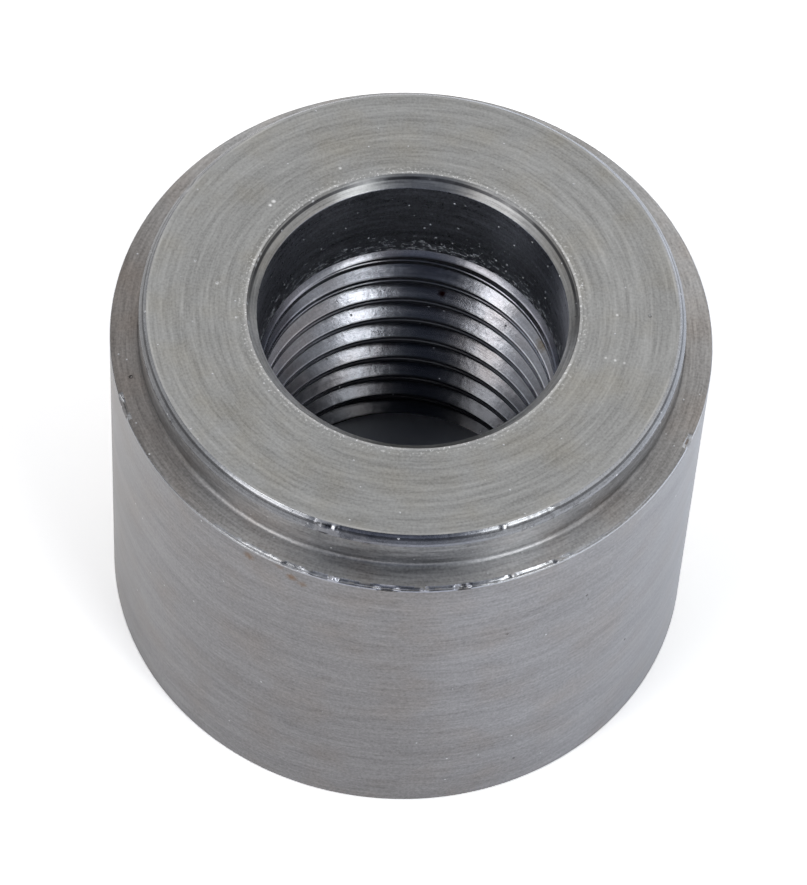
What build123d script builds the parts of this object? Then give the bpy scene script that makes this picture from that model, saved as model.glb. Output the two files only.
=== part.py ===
# A stepped weld bung, turned from round steel bar in one piece.
# It stands on its wide end. The narrow end, the register, points up (+Z).
# The register drops into a hole in a tube or a tank wall, the shoulder
# seats on the wall round that hole, and a weld bead runs round the body.
# A plug or sensor screws in from the wide end, on the M14 x 1.5 thread.
#
# Units are millimetres. The origin is the centre of the wide end's face,
# and the Z axis is the axis of the bore.
from build123d import *
import os

# Body: the full bar diameter, and the length over both ends.
body_diameter = 25.0
overall_length = 19.0

# Register: the narrow collar on top, which centres the bung in its hole.
register_diameter = 22.6
register_height = 1.8

# Outside edges, as the turning tool and a file leave them.
base_edge_break = 0.05
shoulder_edge_break = 0.05
register_edge_break = 0.4
shoulder_root_radius = 0.2

# Thread M14 x 1.5: the wall of the hole is at its minor diameter.
thread_minor_diameter = 12.4
# Countersink at the wide end, where the tap went in.
countersink_diameter = 16.0

# Smooth counterbore at the register end, with a bevelled mouth.
counterbore_diameter = 12.85
counterbore_depth = 4.9
mouth_chamfer = 0.45


def outside_of_section():
    """Right-hand side of the section, from the wide end's face to the top face."""
    body_radius = body_diameter / 2
    register_radius = register_diameter / 2
    shoulder_height = overall_length - register_height
    root = shoulder_root_radius

    base_face_edge = (body_radius - base_edge_break, 0)
    body_low = (body_radius, base_edge_break)
    body_high = (body_radius, shoulder_height - shoulder_edge_break)
    shoulder_outer = (body_radius - shoulder_edge_break, shoulder_height)
    shoulder_inner = (register_radius + root, shoulder_height)
    register_low = (register_radius, shoulder_height + root)
    register_high = (register_radius, overall_length - register_edge_break)
    top_face_edge = (register_radius - register_edge_break, overall_length)

    Polyline(base_face_edge, body_low, body_high, shoulder_outer, shoulder_inner)
    RadiusArc(shoulder_inner, register_low, root)
    Polyline(register_low, register_high, top_face_edge)
    return base_face_edge, top_face_edge


def bore_of_section(base_face_edge, top_face_edge):
    """Left-hand side of the section: mouth, counterbore, thread wall, countersink."""
    counterbore_radius = counterbore_diameter / 2
    minor_radius = thread_minor_diameter / 2
    countersink_radius = countersink_diameter / 2
    # The mouth, the step down to the thread and the countersink are all at 45
    # degrees, so each is as deep as it is wide.
    counterbore_floor = overall_length - counterbore_depth
    lead_in = counterbore_radius - minor_radius
    countersink_depth = countersink_radius - minor_radius

    Polyline(
        top_face_edge,
        (counterbore_radius + mouth_chamfer, overall_length),
        (counterbore_radius, overall_length - mouth_chamfer),
        (counterbore_radius, counterbore_floor),
        (minor_radius, counterbore_floor - lead_in),
        (minor_radius, countersink_depth),
        (countersink_radius, 0),
        base_face_edge,
    )


def weld_bung():
    """The whole bung: one closed section, turned about the Z axis."""
    with BuildPart() as bung:
        with BuildSketch(Plane.XZ):
            with BuildLine():
                base_face_edge, top_face_edge = outside_of_section()
                bore_of_section(base_face_edge, top_face_edge)
            make_face()
        revolve(axis=Axis.Z)
    return bung.part


os.makedirs("parts", exist_ok=True)
export_step(weld_bung(), "parts/bung.step")
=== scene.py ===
import math

import bmesh
import bpy
from mathutils import Matrix, Vector, noise


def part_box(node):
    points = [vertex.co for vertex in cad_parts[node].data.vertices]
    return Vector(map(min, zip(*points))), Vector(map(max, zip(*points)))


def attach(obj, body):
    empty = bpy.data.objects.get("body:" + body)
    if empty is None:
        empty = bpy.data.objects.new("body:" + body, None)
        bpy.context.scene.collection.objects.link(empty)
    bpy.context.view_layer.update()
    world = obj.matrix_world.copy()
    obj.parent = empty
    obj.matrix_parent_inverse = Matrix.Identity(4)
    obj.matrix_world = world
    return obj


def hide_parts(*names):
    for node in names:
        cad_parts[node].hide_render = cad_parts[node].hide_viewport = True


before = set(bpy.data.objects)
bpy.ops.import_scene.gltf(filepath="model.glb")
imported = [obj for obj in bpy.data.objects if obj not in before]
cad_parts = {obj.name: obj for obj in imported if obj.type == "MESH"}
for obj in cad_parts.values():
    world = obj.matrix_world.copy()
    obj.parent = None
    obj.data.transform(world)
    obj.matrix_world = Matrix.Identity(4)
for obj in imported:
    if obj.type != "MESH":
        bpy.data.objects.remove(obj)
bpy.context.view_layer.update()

# The turned blank.
# One piece of round steel bar, stepped, faced and bored on a lathe: the full bar below, a narrow
# register on top, a smooth counterbore inside it and the tapping hole right through.
MM = 0.001
LATHE_STEPS = 1080
SAME_PLACE = 1e-7
bung_low, bung_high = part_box("bung")
body_radius = (bung_high.x - bung_low.x) / 2
overall_length = bung_high.z
register_radius = 11.3 * MM
shoulder_height = overall_length - 1.8 * MM
root_fillet = 0.2 * MM
base_break = 0.05 * MM
top_face_drop = 0.012 * MM
counterbore_radius = 6.425 * MM
counterbore_floor = overall_length - 4.9 * MM
hole_radius = 6.2 * MM
countersink_radius = 8.0 * MM


def turned_outline():
    """The section of the blank as (radius, height, rounding of that edge, its tear, its wear)."""
    rim, seat, top = body_radius, shoulder_height, overall_length
    rows = [
        (countersink_radius, 0.0, 0.05 * MM, 0.0, 0.0),
        (rim - base_break, 0.0, 0.0, 0.0, 0.0),
        (rim, base_break, 0.0, 0.0, 0.0),
        (rim, seat - 0.19 * MM, 0.0, 0.0, 0.0),
        (rim, seat - 0.16 * MM, 0.0, 0.0, 0.0),
        (rim, seat - 0.06 * MM, 0.0, 0.015 * MM, 0.04 * MM),
        (rim - 0.03 * MM, seat - 0.02 * MM, 0.0, 0.02 * MM, 0.05 * MM),
        (rim - 0.07 * MM, seat - 0.01 * MM, 0.0, 0.02 * MM, 0.07 * MM),
        (rim - 0.12 * MM, seat - 0.003 * MM, 0.0, 0.015 * MM, 0.045 * MM),
        (rim - 0.21 * MM, seat, 0.0, 0.0, 0.0),
        (rim - 0.24 * MM, seat, 0.0, 0.0, 0.0),
    ]
    root_x = register_radius + root_fillet
    root_z = seat + root_fillet
    for part in range(5):
        turn = math.radians(90 * part / 4)
        across, drop = root_fillet * math.sin(turn), root_fillet * math.cos(turn)
        rows.append((root_x - across, root_z - drop, 0.0, 0.0, 0.0))
    rows += [
        (register_radius, top - 0.48 * MM, 0.0, 0.0, 0.0),
        (register_radius, top - 0.45 * MM, 0.0, 0.0, 0.0),
        (register_radius - 0.01 * MM, top - 0.37 * MM, 0.0, 0.01 * MM, 0.0),
        (register_radius - 0.05 * MM, top - 0.30 * MM, 0.0, 0.02 * MM, 0.0),
        (register_radius - 0.13 * MM, top - 0.20 * MM, 0.0, 0.025 * MM, 0.0),
        (register_radius - 0.19 * MM, top - 0.09 * MM, 0.0, 0.02 * MM, 0.0),
        (register_radius - 0.31 * MM, top - top_face_drop, 0.0, 0.0, 0.0),
        (register_radius - 0.34 * MM, top - top_face_drop, 0.0, 0.0, 0.0),
        (counterbore_radius + 0.61 * MM, top - top_face_drop, 0.0, 0.0, 0.0),
        (counterbore_radius + 0.57 * MM, top - top_face_drop, 0.0, 0.0, 0.0),
        (counterbore_radius + 0.50 * MM, top, 0.0, 0.03 * MM, 0.0),
        (counterbore_radius + 0.44 * MM, top - 0.01 * MM, 0.0, 0.04 * MM, 0.0),
        (counterbore_radius + 0.36 * MM, top - 0.14 * MM, 0.0, 0.03 * MM, 0.0),
        (counterbore_radius, top - 0.45 * MM, 0.03 * MM, 0.0, 0.0),
        (counterbore_radius, counterbore_floor, 0.02 * MM, 0.0, 0.0),
        (hole_radius, counterbore_floor - (counterbore_radius - hole_radius), 0.0, 0.0, 0.0),
        (hole_radius, countersink_radius - hole_radius, 0.0, 0.0, 0.0),
    ]
    return rows


def turn_on_lathe(rows):
    """Spins the section once round, and rounds each edge that has a rounding."""
    blank = bmesh.new()
    corners = [blank.verts.new((radius, 0.0, height)) for radius, height, *_ in rows]
    sides = [blank.edges.new((corners[i - 1], corners[i])) for i in range(len(corners))]
    bmesh.ops.spin(blank, geom=corners + sides, cent=(0, 0, 0), axis=(0, 0, 1),
                   angle=math.tau, steps=LATHE_STEPS, use_merge=True)
    bmesh.ops.remove_doubles(blank, verts=blank.verts, dist=SAME_PLACE)
    bmesh.ops.recalc_face_normals(blank, faces=blank.faces)
    for radius, height, rounding, *_ in rows:
        if rounding:
            on_ring = {v for v in blank.verts if abs(math.hypot(v.co.x, v.co.y) - radius) < 1e-6
                       and abs(v.co.z - height) < 1e-6}
            ring = [e for e in blank.edges if e.verts[0] in on_ring and e.verts[1] in on_ring]
            bmesh.ops.bevel(blank, geom=ring, offset=rounding, offset_type="OFFSET", segments=2,
                            profile=0.5, affect="EDGES", material=-1)
    return blank


outline = turned_outline()
blank = turn_on_lathe(outline)

# The burrs and bruises.
# Tool and file leave a torn lip on the shoulder, the register and the mouth of the hole. Beads of
# metal stick to it here and there, and handling has nicked it.
BRUISES = [  # azimuth in degrees, radius, height, reach, then how far out and up, all in mm
    (-101.5, 12.36, 17.12, 0.22, 0.02, 0.14), (-84.6, 12.44, 17.12, 0.16, 0.03, 0.09),
    (-67.6, 12.28, 17.12, 0.20, 0.02, 0.06), (-58.5, 12.36, 17.12, 0.20, 0.02, 0.06),
    (-55.0, 12.36, 17.12, 0.24, 0.01, 0.03), (-47.8, 12.42, 17.12, 0.22, 0.01, 0.02),
    (-112.0, 12.34, 17.12, 0.25, 0.01, 0.03), (-106.5, 12.30, 17.12, 0.30, 0.01, 0.04),
    (-77.2, 12.48, 17.15, 0.35, -0.08, -0.12), (-91.5, 12.48, 17.15, 0.60, -0.05, -0.08),
    (-158.5, 12.40, 17.15, 0.70, -0.14, -0.12), (-21.0, 12.45, 17.15, 0.40, -0.06, -0.06),
    (-105.7, 11.10, 18.86, 0.38, 0.12, 0.03), (-103.2, 11.12, 18.86, 0.20, 0.10, 0.03),
    (-67.7, 11.08, 18.90, 0.20, 0.03, 0.02), (-56.0, 11.14, 18.88, 0.24, 0.03, 0.01),
    (-96.0, 11.12, 18.80, 0.30, 0.05, -0.04), (150.0, 11.10, 18.86, 0.50, -0.06, -0.05),
    (165.6, 6.84, 18.96, 0.16, -0.10, 0.05), (163.0, 6.84, 18.96, 0.14, -0.12, 0.05),
    (161.0, 6.86, 18.96, 0.12, -0.08, 0.05), (168.5, 6.92, 18.98, 0.35, 0.05, -0.09),
    (-170.1, 6.80, 18.90, 0.22, -0.08, 0.02), (-150.0, 6.86, 18.96, 0.30, 0.06, -0.06),
]

LEAST_TORN = 0.18
COARSE, FINE = 1.7, 4.5  # how many lumps the tear has per mm, coarse and fine
FINE_SHARE = 0.7
TORN_PARTS = [  # azimuth and spread in degrees, the radii it holds for in mm, strength
    (-112, 12, 12, 13, 0.8), (-89, 12, 12, 13, 0.5), (-66, 12, 12, 13, 0.8), (-42, 12, 12, 13, 0.3),
    (-104, 6, 10, 12, 0.9), (-61, 9, 10, 12, 0.6), (150, 25, 10, 12, 0.4), (-160, 20, 10, 12, 0.4),
    (164, 8, 6, 8, 1.2), (-150, 25, 6, 8, 0.8), (-50, 15, 6, 8, 0.5), (80, 20, 6, 8, 0.4),
]


def tear_edges(mesh, rows):
    """Pushes each torn ring in and out and up and down by an uneven amount, then adds the bruises."""
    torn = {(round(radius / MM, 2), round(height / MM, 2)): (number, tear, wear)
            for number, (radius, height, _, tear, wear) in enumerate(rows) if tear}
    bruised = [(Vector((radius * math.cos(math.radians(azimuth)), radius * math.sin(math.radians(azimuth)),
                        height)), reach, out, up)
               for azimuth, radius, height, reach, out, up in BRUISES]
    for v in mesh.verts:
        place = v.co / MM
        found = torn.get((round(math.hypot(place.x, place.y), 2), round(place.z, 2)))
        if not found:
            continue
        number, tear, wear = found
        side = Vector((place.x, place.y, 0)).normalized()
        turned_to = math.degrees(math.atan2(place.y, place.x))
        spread = math.hypot(place.x, place.y)
        patch = 0.0
        for azimuth, width, near, far, strength in TORN_PARTS:
            if near < spread < far:
                off = abs(turned_to - azimuth)
                patch += strength * math.exp(-(min(off, 360 - off) / width) ** 2)
        patch += LEAST_TORN
        shift = Vector((0, 0, 13.0 * number))
        out = noise.noise(place * COARSE + shift) + FINE_SHARE * noise.noise(place * FINE + shift)
        up = noise.noise(place * COARSE - shift) + FINE_SHARE * noise.noise(place * FINE - shift)
        v.co += (side * out + Vector((0, 0, up))) * tear * patch - Vector((0, 0, wear * patch))
        for centre, reach, out, up in bruised:
            near = 1 - (place - centre).length / reach
            if near > 0:
                v.co += (side * out + Vector((0, 0, up))) * MM * min(1, 1.6 * near)
        v.co.z = min(v.co.z, overall_length)
        spread = math.hypot(v.co.x, v.co.y)
        if spread > body_radius:
            v.co.x *= body_radius / spread
            v.co.y *= body_radius / spread


tear_edges(blank, outline)

# The tapped thread.
# M14 x 1.5, right-handed, cut from the wide end. The tap stops short of the counterbore, so its
# last turn gets shallow, and the crest of each turn keeps a fine seam along its middle.
pitch = 1.5 * MM
groove_depth = 0.8 * MM
thread_half_angle = math.radians(30)
groove_root = pitch / 8
TAP_STEPS = 240
crest_height_at_back = 12.31 * MM
crest_width = pitch - groove_root - 2 * groove_depth * math.tan(thread_half_angle)


def helical_cutter(section, first_turn, last_turn):
    """A ridge of that section wound up the hole, one turn at a time. Turn 0 starts at the back, +Y."""
    cutter = bmesh.new()
    corners = [cutter.verts.new((0.0, radius, height + first_turn * pitch)) for radius, height in section]
    loop = [cutter.edges.new((corners[i - 1], corners[i])) for i in range(len(corners))]
    bmesh.ops.spin(cutter, geom=corners + loop, cent=(0, 0, 0), axis=(0, 0, 1),
                   dvec=(0, 0, pitch / TAP_STEPS), angle=math.tau, steps=TAP_STEPS)
    one_turn = cutter.verts[:] + cutter.edges[:] + cutter.faces[:]
    for turn in range(1, last_turn - first_turn):
        more = bmesh.ops.duplicate(cutter, geom=one_turn)
        moved = [part for part in more["geom"] if isinstance(part, bmesh.types.BMVert)]
        bmesh.ops.translate(cutter, verts=moved, vec=(0, 0, turn * pitch))
    bmesh.ops.remove_doubles(cutter, verts=cutter.verts, dist=SAME_PLACE)
    bmesh.ops.holes_fill(cutter, edges=[e for e in cutter.edges if e.is_boundary])
    bmesh.ops.recalc_face_normals(cutter, faces=cutter.faces)
    return cutter


def tap_section():
    """The tooth of the tap, from inside the hole out to the root of the groove."""
    middle = crest_height_at_back + (pitch - crest_width) / 2
    inner = hole_radius - 0.25 * MM
    outer = hole_radius + groove_depth
    inner_half = groove_root / 2 + (outer - inner) * math.tan(thread_half_angle)
    return [(inner, middle - inner_half), (outer, middle - groove_root / 2),
            (outer, middle + groove_root / 2), (inner, middle + inner_half)]


def seam_section():
    """The small nick that runs along the middle of the crest."""
    middle = crest_height_at_back - crest_width / 2
    return [(hole_radius - 0.03 * MM, middle - 0.08 * MM), (hole_radius + 0.045 * MM, middle),
            (hole_radius - 0.03 * MM, middle + 0.06 * MM)]


def cut_away(body, cutter, name):
    """Takes the cutter's shape out of the body."""
    tool_mesh = bpy.data.meshes.new(name)
    cutter.to_mesh(tool_mesh)
    cutter.free()
    tool = bpy.data.objects.new(name, tool_mesh)
    bpy.context.scene.collection.objects.link(tool)
    cut = body.modifiers.new(name, "BOOLEAN")
    cut.operation = "DIFFERENCE"
    cut.solver = "EXACT"
    cut.object = tool
    whole = bpy.data.meshes.new_from_object(body.evaluated_get(bpy.context.evaluated_depsgraph_get()))
    body.modifiers.clear()
    body.data = whole
    bpy.data.objects.remove(tool)


bung_mesh = bpy.data.meshes.new("bung_turned")
blank.to_mesh(bung_mesh)
blank.free()
bung = bpy.data.objects.new("bung_turned", bung_mesh)
bpy.context.scene.collection.objects.link(bung)

tap = helical_cutter(tap_section(), -10, 2)
tap_end = 13.50 * MM
tap_lead = 1.0 * MM
clear_of_wall = 0.12 * MM
for v in tap.verts:
    out = math.hypot(v.co.x, v.co.y)
    reach = hole_radius + groove_depth * (tap_end - v.co.z) / tap_lead
    reach = max(reach, hole_radius - clear_of_wall)
    if out > reach:
        v.co.x *= reach / out
        v.co.y *= reach / out
cut_away(bung, tap, "tap")
cut_away(bung, helical_cutter(seam_section(), -7, 2), "crest_seam")

# The pits.
# Small dents from handling, each cut with a ball: in the top face, the shoulder and the side.
PITS = [  # azimuth in degrees, radius and height of the ball's middle, and its radius, in mm
    (2.4, 9.76, 19.03, 0.09), (-172.0, 7.30, 19.05, 0.08), (-144.6, 7.19, 19.05, 0.08),
    (175.6, 8.16, 19.05, 0.09), (169.7, 9.28, 19.05, 0.10), (14.1, 7.11, 19.05, 0.08),
    (-164.8, 11.81, 17.22, 0.10), (-67.9, 12.53, 12.83, 0.09), (-63.8, 12.53, 2.03, 0.09),
    (-95.9, 12.54, 3.26, 0.08), (-50.9, 12.53, 13.2, 0.08), (-50.4, 12.54, 12.8, 0.07),
    (-104.0, 12.53, 9.4, 0.07), (-128.0, 12.54, 12.1, 0.07), (-38.0, 12.54, 6.6, 0.08),
]
dents = bmesh.new()
for azimuth, radius, height, size in PITS:
    ball = bmesh.ops.create_icosphere(dents, subdivisions=2, radius=size * MM)
    around = math.radians(azimuth)
    middle = Vector((radius * math.cos(around), radius * math.sin(around), height))
    bmesh.ops.translate(dents, verts=ball["verts"], vec=middle * MM)
cut_away(bung, dents, "pits")

# The finishes.
# Bare low-carbon steel all over: faced on both ends, drawn or turned on the side, bored, tapped, and
# worn to a shine along its edges. Each cut leaves its own lines, and a few spots of rust sit there.
# White glints, sparkle and bright lines along the lips, the thread darker down the hole and in its
# grooves, and sides lighter or darker by azimuth are painted light and shade in these colours.
FACED, BAR, BORED, TAPPED, SHOULDER, EDGE, MOUTH = range(7)
thread_from = 1.7 * MM
nearly_level = 0.95


def finish_of(face):
    """The finish of a face, by where it lies on the turned blank."""
    middle = face.calc_center_median()
    out = math.hypot(middle.x, middle.y)
    if out > body_radius - 0.2 * MM and middle.z < shoulder_height - 0.15 * MM:
        return BAR
    if out > register_radius - 0.02 * MM and middle.z < overall_length - 0.44 * MM:
        inside_rim = out < body_radius - 0.24 * MM
        return SHOULDER if face.normal.z > nearly_level or inside_rim else EDGE
    if out > register_radius - 0.32 * MM and middle.z > shoulder_height:
        return EDGE
    if 0.02 * MM < out - counterbore_radius < 0.43 * MM and middle.z > shoulder_height:
        return MOUTH
    if out < counterbore_radius + 0.05 * MM and middle.z > counterbore_floor:
        return BORED
    if out < countersink_radius and thread_from < middle.z <= counterbore_floor:
        return TAPPED
    return FACED


tidy = bmesh.new()
tidy.from_mesh(bung.data)
bmesh.ops.remove_doubles(tidy, verts=tidy.verts, dist=SAME_PLACE)
bmesh.ops.recalc_face_normals(tidy, faces=tidy.faces)
for face in tidy.faces:
    face.smooth = True
    face.material_index = finish_of(face)
tidy.to_mesh(bung.data)
tidy.free()
bung.data.set_sharp_from_angle(angle=math.radians(26))
for edge in bung.data.edges:
    place = (bung.data.vertices[edge.vertices[0]].co + bung.data.vertices[edge.vertices[1]].co) / 2
    out = math.hypot(place.x, place.y)
    on_rim = out > body_radius - 0.20 * MM and abs(place.z - shoulder_height) < 0.14 * MM
    on_register = (0.04 * MM < register_radius - out < 0.27 * MM
                   and place.z > overall_length - 0.33 * MM)
    if on_rim or on_register:
        edge.use_edge_sharp = False

RUST = (0.20, 0.115, 0.055)
# White painted into small spots and rings of the steel: a painted glint.
PAINTED_GLINT = (0.95, 0.95, 0.95)


def turned_steel(name, colour, tint, rough, line_size, line_depth, line_tone=0.35,
                 grain_tone=0.5, grain_depth=0.002 * MM, grain_gloss=0.16, torn_depth=0.0,
                 chip_share=0.08, chip_depth=0.02 * MM, chip_glint_tone=0.6, chip_scale=3000.0, chip_size=0.16,
                 depth_shade=1.0, streak=0.5, spots=(), tarnish_and_light=(), tarnish_and_light_top=17.3, worn_and_highlight_rings=(),
                 painted_sparkle_rings=(), shade_and_highlight_rings=(), mouth_shade_ring=0.0, crest_light_and_shade=None, painted_glitter=None):
    """Bright steel with fine lines round the axis, a grain, sparse chips that glint, and coloured spots.

    The chips glint by their bumps and by white painted into their colour, a painted glint. A spot is
    (azimuth, radius, height, size, colour, strength); the rust-coloured ones are stains, the white ones
    painted glints.
    Tarnish and light is (azimuth, the angles from it where it is full and where it is gone, colour): a
    colour multiplied in on that side, a painted shade below 1, a painted highlight above 1, and a warm one
    also tarnished. A worn or sparkling ring is (radius, width, strength) and paints a white highlight or
    white sparkle along a lip, and a shade and highlight ring is (radius from, radius to, tone from, tone
    to), a painted shade where the tone drops and a painted highlight where it rises. The depth shade, the
    crest's light and shade, the shade ring at the mouth and the glittering flecks are painted light and
    shade too.
    All are in mm and degrees.
    """
    steel = bpy.data.materials.new(name)
    steel.use_nodes = True
    nodes, wires = steel.node_tree.nodes, steel.node_tree.links
    shader = nodes["Principled BSDF"]
    shader.inputs["Metallic"].default_value = 1.0
    shader.inputs["Anisotropic"].default_value = streak
    shader.inputs["Anisotropic Rotation"].default_value = 0.25

    def plug(socket, value):
        if hasattr(value, "links"):
            wires.new(value, socket)
        else:
            socket.default_value = value

    def math_node(operation, a, b=0.0):
        node = nodes.new("ShaderNodeMath")
        node.operation = operation
        plug(node.inputs[0], a)
        plug(node.inputs[1], b)
        return node.outputs[0]

    def noise_node(vector, scale, detail, roughness=0.5):
        node = nodes.new("ShaderNodeTexNoise")
        node.inputs["Scale"].default_value = scale
        node.inputs["Detail"].default_value = detail
        node.inputs["Roughness"].default_value = roughness
        wires.new(vector, node.inputs["Vector"])
        return node.outputs["Fac"]

    def between(value, low, high, from_value=0.0, to_value=1.0):
        node = nodes.new("ShaderNodeMapRange")
        plug(node.inputs["Value"], value)
        node.inputs["From Min"].default_value = low
        node.inputs["From Max"].default_value = high
        node.inputs["To Min"].default_value = from_value
        node.inputs["To Max"].default_value = to_value
        return node.outputs["Result"]

    def blend(kind, factor, first, second):
        node = nodes.new("ShaderNodeMix")
        node.data_type = "RGBA"
        node.blend_type = kind
        plug(node.inputs["Factor"], factor)
        plug(node.inputs["A"], first)
        plug(node.inputs["B"], second)
        return node.outputs["Result"]

    def on_ring(ring_radius, full, gone, strength):
        off_ring = math_node("ABSOLUTE", math_node("SUBTRACT", radius, ring_radius * MM))
        return between(off_ring, gone * MM, full * MM, 0.0, strength)

    where = nodes.new("ShaderNodeTexCoord").outputs["Object"]
    split = nodes.new("ShaderNodeSeparateXYZ")
    wires.new(where, split.inputs[0])
    x, y, z = split.outputs
    radius = math_node("SQRT", math_node("ADD", math_node("MULTIPLY", x, x), math_node("MULTIPLY", y, y)))
    along = math_node("ADD", radius, math_node("MULTIPLY", z, 0.618))
    lines = nodes.new("ShaderNodeCombineXYZ")
    wires.new(math_node("MULTIPLY", x, 0.06), lines.inputs[0])
    wires.new(math_node("MULTIPLY", y, 0.06), lines.inputs[1])
    wires.new(along, lines.inputs[2])
    fine = noise_node(lines.outputs[0], 1 / line_size, 3.0, 0.65)
    broad = noise_node(lines.outputs[0], 0.16 / line_size, 2.0)
    patches = noise_node(where, 420.0, 4.0)
    speckle = noise_node(where, 9000.0, 3.0, 0.6)

    broad_tone = 0.2
    tone = math_node("MULTIPLY", fine, 2 * line_tone)
    tone = math_node("ADD", tone, math_node("MULTIPLY", broad, 2 * broad_tone))
    tone = math_node("ADD", tone, math_node("MULTIPLY", speckle, 2 * grain_tone))
    tone = math_node("ADD", tone, 1.0 - line_tone - broad_tone - grain_tone)
    # Darker down the hole towards the wide end: a painted shade in the depth of the bore.
    if depth_shade < 1:
        tone = math_node("MULTIPLY", tone, between(z, 2.0 * MM, 10.0 * MM, depth_shade, 1.0))
    # Tone by radius: a painted shade where it falls below 1, such as towards a thread's root, and a painted
    # highlight where it rises above 1.
    for near, far, from_value, to_value in shade_and_highlight_rings:
        tone = math_node("MULTIPLY", tone, between(radius, near * MM, far * MM, from_value, to_value))
    # Painted light and shade on the crest of the thread: lighter towards the sides of the hole, darker at
    # the back.
    if crest_light_and_shade:
        toward_back = between(math_node("DIVIDE", y, radius), 0.60, 0.92, *crest_light_and_shade)
        on_crest = between(radius, 6.22 * MM, 6.26 * MM, 1.0, 0.0)
        change = math_node("MULTIPLY", on_crest, math_node("SUBTRACT", toward_back, 1.0))
        tone = math_node("MULTIPLY", tone, math_node("ADD", change, 1.0))
    shaded = nodes.new("ShaderNodeVectorMath")
    shaded.operation = "SCALE"
    shaded.inputs[0].default_value = colour
    wires.new(tone, shaded.inputs["Scale"])
    tinted = blend("MULTIPLY", between(patches, 0.45, 0.70), shaded.outputs[0], (*tint, 1))
    for azimuth, out, height, size, spot_colour, strength in spots:
        around = math.radians(azimuth)
        away = nodes.new("ShaderNodeVectorMath")
        away.operation = "DISTANCE"
        wires.new(where, away.inputs[0])
        away.inputs[1].default_value = Vector((out * math.cos(around), out * math.sin(around), height)) * MM
        ragged = math_node("ADD", away.outputs["Value"], math_node("MULTIPLY", speckle, size * MM))
        inside = between(ragged, size * MM * 0.7, size * MM * 1.5, strength, 0.0)
        tinted = blend("MIX", inside, tinted, (*spot_colour, 1))
    # A patchy white ring along a rubbed lip: a painted highlight.
    for ring_radius, width, strength in worn_and_highlight_rings:
        worn = math_node("MULTIPLY", on_ring(ring_radius, 0.4 * width, width, strength),
                         between(patches, 0.35, 0.60))
        tinted = blend("MIX", worn, tinted, (*PAINTED_GLINT, 1))
    # White specks along a lip: a painted sparkle.
    for ring_radius, width, strength in painted_sparkle_rings:
        sparkle = math_node("MULTIPLY", on_ring(ring_radius, 0.4 * width, width, strength),
                            between(speckle, 0.58, 0.64))
        tinted = blend("MIX", sparkle, tinted, (*PAINTED_GLINT, 1))
    # A near-black line round the mouth, at the back only: a painted shade in the nick below the lip.
    if mouth_shade_ring:
        groove = math_node("MULTIPLY", on_ring(6.755, 0.035, 0.065, mouth_shade_ring),
                           between(patches, 0.30, 0.48, 0.35, 1.0))
        groove = math_node("MULTIPLY", groove, between(y, -1.5 * MM, 1.5 * MM))
        tinted = blend("MIX", groove, tinted, (0.03, 0.03, 0.035, 1))
    # A colour multiplied in on one side: below 1 a painted shade there, above 1 a painted highlight, and a
    # warm one also tarnished.
    for azimuth, full, gone, tarnish_and_light_colour in tarnish_and_light:
        around = math.radians(azimuth)
        toward = math_node("ADD", math_node("MULTIPLY", x, math.cos(around)),
                           math_node("MULTIPLY", y, math.sin(around)))
        toward = math_node("DIVIDE", toward, radius)
        amount = between(toward, math.cos(math.radians(gone)), math.cos(math.radians(full)))
        amount = math_node("MULTIPLY", amount, math_node("LESS_THAN", z, tarnish_and_light_top * MM))
        tinted = blend("MULTIPLY", amount, tinted, (*tarnish_and_light_colour, 1))

    cells = nodes.new("ShaderNodeTexVoronoi")
    cells.inputs["Scale"].default_value = chip_scale
    wires.new(where, cells.inputs["Vector"])
    picked = nodes.new("ShaderNodeSeparateColor")
    wires.new(cells.outputs["Color"], picked.inputs[0])
    chip = math_node("MAXIMUM", math_node("SUBTRACT", chip_size, cells.outputs["Distance"]), 0.0)
    share = between(z, *chip_share) if isinstance(chip_share, tuple) else chip_share
    chip = math_node("MULTIPLY", chip, math_node("LESS_THAN", picked.outputs[0], share))
    # The chips are lightened towards white: a painted glint, along with their real bump.
    tinted = blend("MIX", between(chip, 0.0, 0.08, 0.0, chip_glint_tone), tinted, (0.92, 0.93, 0.95, 1))
    # Glittering flecks in a band low in the counterbore: white painted in, a painted sparkle, with a small
    # bump too.
    if painted_glitter:
        drawn = nodes.new("ShaderNodeCombineXYZ")
        wires.new(math_node("MULTIPLY", x, 0.45), drawn.inputs[0])
        wires.new(math_node("MULTIPLY", y, 0.45), drawn.inputs[1])
        wires.new(z, drawn.inputs[2])
        flecks = noise_node(drawn.outputs[0], 6500.0, 4.0, 0.65)
        spark = between(math_node("SUBTRACT", flecks, between(z, *painted_glitter)), 0.0, 0.08)
        tinted = blend("MIX", spark, tinted, (0.92, 0.95, 0.98, 1))
    wires.new(tinted, shader.inputs["Base Color"])

    line_gloss = 0.12
    gloss = math_node("ADD", math_node("MULTIPLY", speckle, grain_gloss),
                      math_node("MULTIPLY", fine, line_gloss))
    wires.new(math_node("ADD", gloss, rough - line_gloss / 2 - grain_gloss / 2), shader.inputs["Roughness"])

    relief = math_node("ADD", math_node("MULTIPLY", fine, line_depth),
                       math_node("MULTIPLY", speckle, grain_depth))
    relief = math_node("ADD", relief, math_node("MULTIPLY", chip, chip_depth / chip_size))
    if torn_depth:
        torn = noise_node(where, 2000.0, 3.0, 0.5)
        relief = math_node("ADD", relief, math_node("MULTIPLY", torn, torn_depth))
    if painted_glitter:
        relief = math_node("ADD", relief, math_node("MULTIPLY", spark, 0.05 * MM))
    bump = nodes.new("ShaderNodeBump")
    bump.inputs["Strength"].default_value = 1.0
    bump.inputs["Distance"].default_value = 1.0
    wires.new(relief, bump.inputs["Height"])
    wires.new(bump.outputs["Normal"], shader.inputs["Normal"])
    return steel


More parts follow.
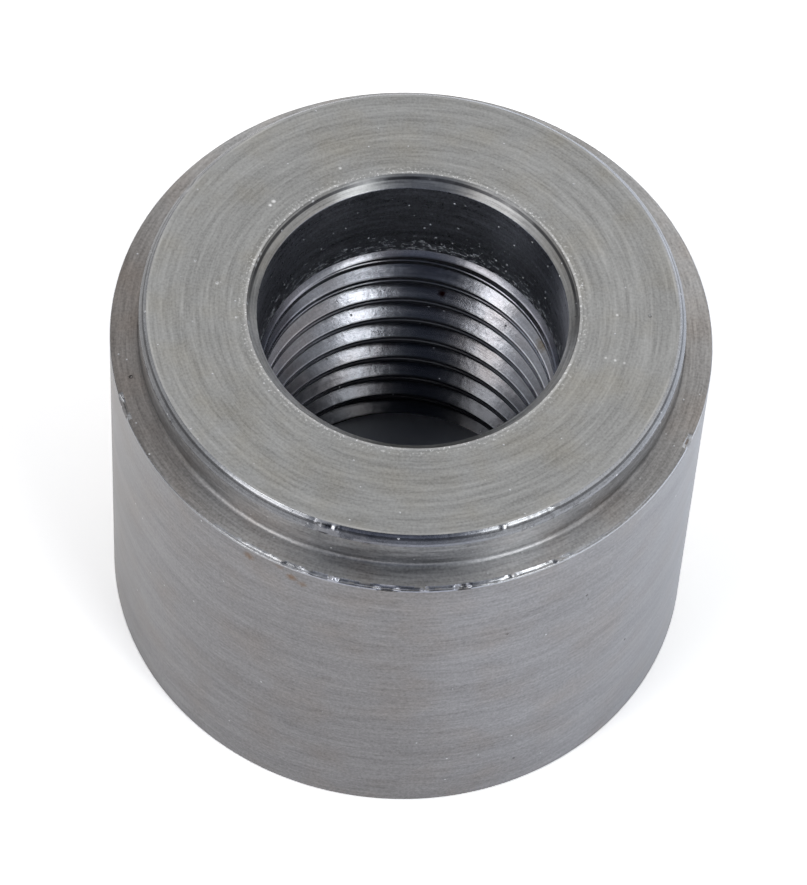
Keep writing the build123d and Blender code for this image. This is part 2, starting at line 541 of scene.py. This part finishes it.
# The top face: its white spots and its worn and sparkling rings at the mouth and register lips are painted
# glints and highlights.
faced_steel = turned_steel(
    "faced_steel", (0.35, 0.35, 0.345), tint=(0.96, 0.93, 0.87), rough=0.34, line_size=0.16 * MM,
    line_depth=0.007 * MM, line_tone=0.5, grain_tone=0.4,
    worn_and_highlight_rings=[(6.93, 0.07, 0.35), (10.94, 0.06, 0.2)],
    painted_sparkle_rings=[(6.93, 0.09, 0.9), (7.1, 0.16, 0.35)],
    spots=[(-172.0, 7.30, 19.0, 0.07, PAINTED_GLINT, 1.0), (-144.6, 7.19, 19.0, 0.06, PAINTED_GLINT, 1.0),
           (175.6, 8.16, 19.0, 0.10, PAINTED_GLINT, 0.8), (169.7, 9.28, 19.0, 0.09, PAINTED_GLINT, 0.6),
           (14.1, 7.11, 19.0, 0.07, PAINTED_GLINT, 1.0), (5.6, 6.92, 19.0, 0.06, PAINTED_GLINT, 1.0),
           (2.4, 8.40, 19.0, 0.07, PAINTED_GLINT, 1.0), (-40.0, 11.24, 18.62, 0.09, PAINTED_GLINT, 1.0),
           (142.7, 7.84, 19.0, 0.10, PAINTED_GLINT, 0.9), (140.9, 7.86, 19.0, 0.11, PAINTED_GLINT, 0.9),
           (116.6, 7.70, 19.0, 0.09, PAINTED_GLINT, 0.7), (-12.8, 8.2, 19.0, 0.08, PAINTED_GLINT, 0.6),
           (-12.8, 8.6, 19.0, 0.08, PAINTED_GLINT, 0.7), (-12.9, 9.0, 19.0, 0.08, PAINTED_GLINT, 0.5)])
bar_steel = turned_steel(
    "bar_steel", (0.268, 0.262, 0.263), tint=(0.98, 0.94, 0.90), rough=0.36, line_size=0.10 * MM,
    line_depth=0.005 * MM, line_tone=0.4, grain_tone=0.5, chip_share=0.02,
    spots=[(-118.5, 12.5, 16.60, 0.32, RUST, 0.65), (-109.6, 12.5, 16.47, 0.30, RUST, 0.75),
           (-107.4, 12.5, 16.24, 0.28, RUST, 0.5), (-112.0, 12.5, 16.9, 0.24, RUST, 0.35)])
# The counterbore: its glittering flecks and white chips, thickest low down, are painted sparkle.
bored_steel = turned_steel(
    "bored_steel", (0.33, 0.34, 0.375), tint=(0.95, 0.95, 0.95), rough=0.30, line_size=0.16 * MM,
    line_depth=0.008 * MM, line_tone=0.8, grain_tone=0.8, grain_depth=0.004 * MM, chip_scale=4200.0,
    chip_size=0.25, chip_share=(14.2 * MM, 15.9 * MM, 0.45, 0.06), chip_depth=0.05 * MM, chip_glint_tone=0.9,
    painted_glitter=(14.1 * MM, 15.9 * MM, 0.52, 0.69))
# The thread: painted darker down the hole and towards the root of each groove, a painted shade; its crest
# is painted lighter at the sides and darker at the back; two white spots are painted glints, the dark red
# and brown ones stains.
tapped_steel = turned_steel(
    "tapped_steel", (0.33, 0.335, 0.36), tint=(0.97, 0.90, 0.85), rough=0.24, line_size=0.2 * MM,
    line_depth=0.004 * MM, grain_tone=0.35, grain_depth=0.0003 * MM, grain_gloss=0.04,
    torn_depth=0.012 * MM, chip_share=0.1, depth_shade=0.12, streak=0.2,
    shade_and_highlight_rings=[(6.70, 6.95, 1.0, 0.4)], crest_light_and_shade=(2.6, 0.45),
    spots=[(79.5, 6.56, 10.97, 0.26, (0.05, 0.004, 0.004), 1.0), (133.0, 6.22, 12.48, 0.16, PAINTED_GLINT, 1.0),
           (127.0, 6.75, 9.79, 0.16, PAINTED_GLINT, 1.0), (30.0, 6.57, 12.27, 0.5, (0.20, 0.155, 0.09), 0.7)])
# The shoulder: darker and browner to the left, partly tarnished and partly a painted shade; darker at the
# front and right front, a painted shade. The rust spot is a stain.
shoulder_steel = turned_steel(
    "shoulder_steel", (0.415, 0.412, 0.412), tint=(0.97, 0.92, 0.88), rough=0.35, line_size=0.12 * MM,
    line_depth=0.010 * MM, line_tone=0.6, spots=[(-21.0, 12.45, 17.2, 0.25, RUST, 0.6)],
    tarnish_and_light=[(-172, 20, 52, (0.56, 0.53, 0.51)), (-16, 14, 40, (0.76, 0.745, 0.73)),
             (-98, 10, 30, (0.86, 0.86, 0.86))])
# The mouth: a painted shade line at its back, painted highlights on the sides towards the two front soft
# boxes, and white spots that are painted glints.
mouth_steel = turned_steel(
    "mouth_steel", (0.39, 0.388, 0.38), tint=(0.97, 0.93, 0.88), rough=0.32, line_size=0.12 * MM,
    line_depth=0.006 * MM, line_tone=0.7, grain_tone=0.3, chip_share=0.1, mouth_shade_ring=0.85, tarnish_and_light_top=19.1,
    tarnish_and_light=[(-140, 22, 42, (2.3, 2.3, 2.3)), (-34, 14, 30, (2.0, 2.0, 2.0))],
    spots=[(165.6, 6.84, 18.96, 0.14, PAINTED_GLINT, 1.0), (163.0, 6.84, 18.96, 0.14, PAINTED_GLINT, 1.0),
           (160.5, 6.85, 18.96, 0.11, PAINTED_GLINT, 1.0), (-170.1, 6.82, 18.92, 0.12, PAINTED_GLINT, 1.0),
           (-178.0, 6.84, 18.95, 0.10, PAINTED_GLINT, 1.0), (131.0, 6.80, 18.9, 0.09, PAINTED_GLINT, 1.0)])
# The torn edges: a painted dark line and a painted bright line by radius, painted light out towards the
# rim, painted shade to the left and at the front, and white spots that are painted glints.
edge_steel = turned_steel(
    "edge_steel", (0.44, 0.445, 0.46), tint=(0.95, 0.93, 0.90), rough=0.27, line_size=0.2 * MM,
    line_depth=0.002 * MM, grain_tone=0.4, torn_depth=0.004 * MM, chip_share=0.1, grain_gloss=0.06,
    tarnish_and_light_top=19.1,
    shade_and_highlight_rings=[(11.09, 11.12, 1.0, 0.33), (11.165, 11.185, 1.0, 1.9), (11.6, 11.8, 1.0, 1.6)],
    tarnish_and_light=[(180, 40, 60, (0.62, 0.62, 0.62)), (-90, 8, 20, (0.75, 0.76, 0.82))],
    spots=[(-101.5, 12.36, 17.2, 0.16, PAINTED_GLINT, 1.0), (-40.0, 11.24, 18.6, 0.09, PAINTED_GLINT, 1.0),
           (-103.5, 11.12, 18.9, 0.14, PAINTED_GLINT, 1.0), (-67.7, 11.10, 18.9, 0.12, PAINTED_GLINT, 1.0)])
for steel in (faced_steel, bar_steel, bored_steel, tapped_steel, shoulder_steel, edge_steel, mouth_steel):
    bung.data.materials.append(steel)

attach(bung, "root")
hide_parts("bung")

# The studio floor.
# A wide pale sweep of matt board that the bung stands on. It keeps the soft shadow of the bung.
floor_mesh = bpy.data.meshes.new("studio_floor")
floor_shape = bmesh.new()
bmesh.ops.create_grid(floor_shape, x_segments=1, y_segments=1, size=3.0)
floor_shape.to_mesh(floor_mesh)
floor_shape.free()
floor = bpy.data.objects.new("studio_floor", floor_mesh)
bpy.context.scene.collection.objects.link(floor)
board = bpy.data.materials.new("matt_board")
board.use_nodes = True
nodes, wires = board.node_tree.nodes, board.node_tree.links
nodes.remove(nodes["Principled BSDF"])
matt = nodes.new("ShaderNodeBsdfDiffuse")
path = nodes.new("ShaderNodeLightPath")
seen = nodes.new("ShaderNodeMath")
seen.operation = "MAXIMUM"
wires.new(path.outputs["Is Camera Ray"], seen.inputs[0])
wires.new(path.outputs["Is Glossy Ray"], seen.inputs[1])
seen_all = nodes.new("ShaderNodeMath")
seen_all.operation = "MAXIMUM"
wires.new(seen.outputs[0], seen_all.inputs[0])
wires.new(path.outputs["Is Transmission Ray"], seen_all.inputs[1])
place = nodes.new("ShaderNodeSeparateXYZ")
wires.new(nodes.new("ShaderNodeTexCoord").outputs["Object"], place.inputs[0])


def fade(value, low, high):
    """Goes from 0 to 1 while the value goes from low to high."""
    node = nodes.new("ShaderNodeMapRange")
    node.inputs["From Min"].default_value = low
    node.inputs["From Max"].default_value = high
    wires.new(value, node.inputs["Value"])
    return node.outputs["Result"]


def choose(factor, first, second):
    """One colour at factor 0, the other at factor 1."""
    node = nodes.new("ShaderNodeMix")
    node.data_type = "RGBA"
    for name, value in (("Factor", factor), ("A", first), ("B", second)):
        if hasattr(value, "links"):
            wires.new(value, node.inputs[name])
        else:
            node.inputs[name].default_value = value
    return node.outputs["Result"]


# As the steel sees it in reflection, the board is painted darker in front of the bung and lighter level
# with and behind it, lighter and cooler to the right and warmer to the left: a painted shadow in front and
# painted light beside.
to_right = fade(place.outputs["X"], 1 * MM, 8 * MM)
in_front = choose(to_right, (1.48, 1.46, 1.45, 1), (1.75, 1.77, 1.82, 1))
beside = choose(to_right, (1.86, 1.82, 1.77, 1), (2.08, 2.14, 2.25, 1))
mirrored = choose(fade(place.outputs["Y"], -14 * MM, 3 * MM), in_front, beside)
lit_board = choose(seen_all.outputs[0], (0.85, 0.85, 0.85, 1), mirrored)
lit_board = choose(path.outputs["Is Camera Ray"], lit_board, (2.15, 2.12, 2.06, 1))
from_axis = nodes.new("ShaderNodeVectorMath")
from_axis.operation = "LENGTH"
wires.new(nodes["Texture Coordinate"].outputs["Object"], from_axis.inputs[0])
# Under the bung's foot the board is a darker blue-grey for every ray: a painted shade where it is seen
# through the bore.
shade_under_bung = fade(from_axis.outputs["Value"], 11.5 * MM, 10.5 * MM)
wires.new(choose(shade_under_bung, lit_board, (0.62, 0.64, 0.68, 1)), matt.inputs["Color"])
wires.new(matt.outputs[0], nodes["Material Output"].inputs["Surface"])
floor.data.materials.append(board)

# The studio light.
# Four small soft boxes, two high and two low, on both sides of the camera. They stand in a pale
# room, which is dark behind the camera, so the steel shows a dark band between bright edges.


def soft_box(name, azimuth, height, distance, size, radiance, colour):
    """A tall lamp that looks at the middle of the bung, from that azimuth and height in degrees."""
    lamp = bpy.data.lights.new(name, "AREA")
    lamp.shape = "RECTANGLE"
    lamp.size, lamp.size_y = size
    lamp.energy = radiance * math.pi * size[0] * size[1]
    lamp.color = colour
    box = bpy.data.objects.new(name, lamp)
    around, above = math.radians(azimuth), math.radians(height)
    away = Vector((math.cos(around) * math.cos(above), math.sin(around) * math.cos(above), math.sin(above)))
    box.location = away * distance + Vector((0, 0, overall_length / 2))
    box.rotation_euler = away.to_track_quat("Z", "Y").to_euler()
    bpy.context.scene.collection.objects.link(box)


soft_box("high_box_right", -39, 56.5, 0.5, (0.10, 0.12), 6.0, (0.95, 0.98, 1.0))
soft_box("high_box_left", -144, 53.5, 0.5, (0.11, 0.13), 4.0, (1.0, 1.0, 1.0))
soft_box("low_box_right", -50, 30.5, 0.5, (0.16, 0.12), 4.4, (0.95, 0.98, 1.0))
soft_box("low_box_left", -138, 28, 0.5, (0.24, 0.12), 2.6, (1.0, 0.99, 1.0))

room = bpy.data.worlds.new("studio_room")
bpy.context.scene.world = room
room.use_nodes = True
nodes, wires = room.node_tree.nodes, room.node_tree.links
sky = nodes["Background"]
sky.inputs["Strength"].default_value = 1.0
looks = nodes.new("ShaderNodeTexCoord").outputs["Generated"]


def round_direction(direction, inside, outside):
    """1 within the inside angle of a direction, 0 beyond the outside angle."""
    toward = nodes.new("ShaderNodeVectorMath")
    toward.operation = "DOT_PRODUCT"
    toward.inputs[1].default_value = Vector(direction).normalized()
    wires.new(looks, toward.inputs[0])
    node = nodes.new("ShaderNodeMapRange")
    node.interpolation_type = "SMOOTHSTEP"
    node.inputs["From Min"].default_value = math.cos(math.radians(outside))
    node.inputs["From Max"].default_value = math.cos(math.radians(inside))
    wires.new(toward.outputs["Value"], node.inputs["Value"])
    return node.outputs["Result"]


path = nodes.new("ShaderNodeLightPath")
seen = nodes.new("ShaderNodeMath")
seen.operation = "MAXIMUM"
wires.new(path.outputs["Is Glossy Ray"], seen.inputs[0])
wires.new(path.outputs["Is Transmission Ray"], seen.inputs[1])
upward = nodes.new("ShaderNodeSeparateXYZ")
wires.new(looks, upward.inputs[0])
left_to_right = choose(fade(upward.outputs["X"], -0.4, 0.4), (0.87, 0.87, 0.87, 1), (1.03, 1.03, 1.03, 1))
bright_walls = choose(fade(upward.outputs["Z"], 0.0, 0.45), (0.55, 0.56, 0.58, 1), left_to_right)
walls = choose(seen.outputs[0], (0.50, 0.50, 0.50, 1), bright_walls)
dim_sides = choose(round_direction((0, -0.62, 0.78), 42, 75), walls, (0.55, 0.57, 0.61, 1))
dark_front = choose(round_direction((0, -0.80, 0.60), 14, 34), dim_sides, (0.15, 0.17, 0.23, 1))
black_top = choose(round_direction((0, -0.42, 0.91), 16, 30), dark_front, (0.025, 0.033, 0.055, 1))
dim_left = choose(round_direction((-0.72, 0.19, 0.67), 8, 26), black_top, (0.55, 0.56, 0.58, 1))
dim_right = choose(round_direction((0.72, 0.19, 0.67), 8, 26), dim_left, (0.55, 0.56, 0.58, 1))
white = choose(path.outputs["Is Camera Ray"], dim_right, (1, 1, 1, 1))
wires.new(white, sky.inputs["Color"])

# The camera.
# It looks down on the bung from the front with a long lens, and is held a little out of level.
camera_data = bpy.data.cameras.new("camera")
camera_data.lens = 208.24
camera_data.sensor_width = 36.0
camera_data.clip_start = 0.01
camera_data.clip_end = 20.0
camera = bpy.data.objects.new("camera", camera_data)
elevation = math.radians(56.845)
camera_distance = 219.09 * MM
camera_tilt = math.radians(3.779)
aim = Vector((-0.04 * MM, 0.0, 8.889 * MM))
back = Vector((0, -math.cos(elevation), math.sin(elevation)))
level = Vector((1, 0, 0))
up = level.cross(-back)
across = math.cos(camera_tilt) * level + math.sin(camera_tilt) * up
upright = -math.sin(camera_tilt) * level + math.cos(camera_tilt) * up
camera.matrix_world = Matrix.Translation(aim + back * camera_distance) @ Matrix(
    (across, upright, back)).transposed().to_4x4()
bpy.context.scene.collection.objects.link(camera)
bpy.context.scene.camera = camera

bpy.context.scene.view_settings.view_transform = "Standard"
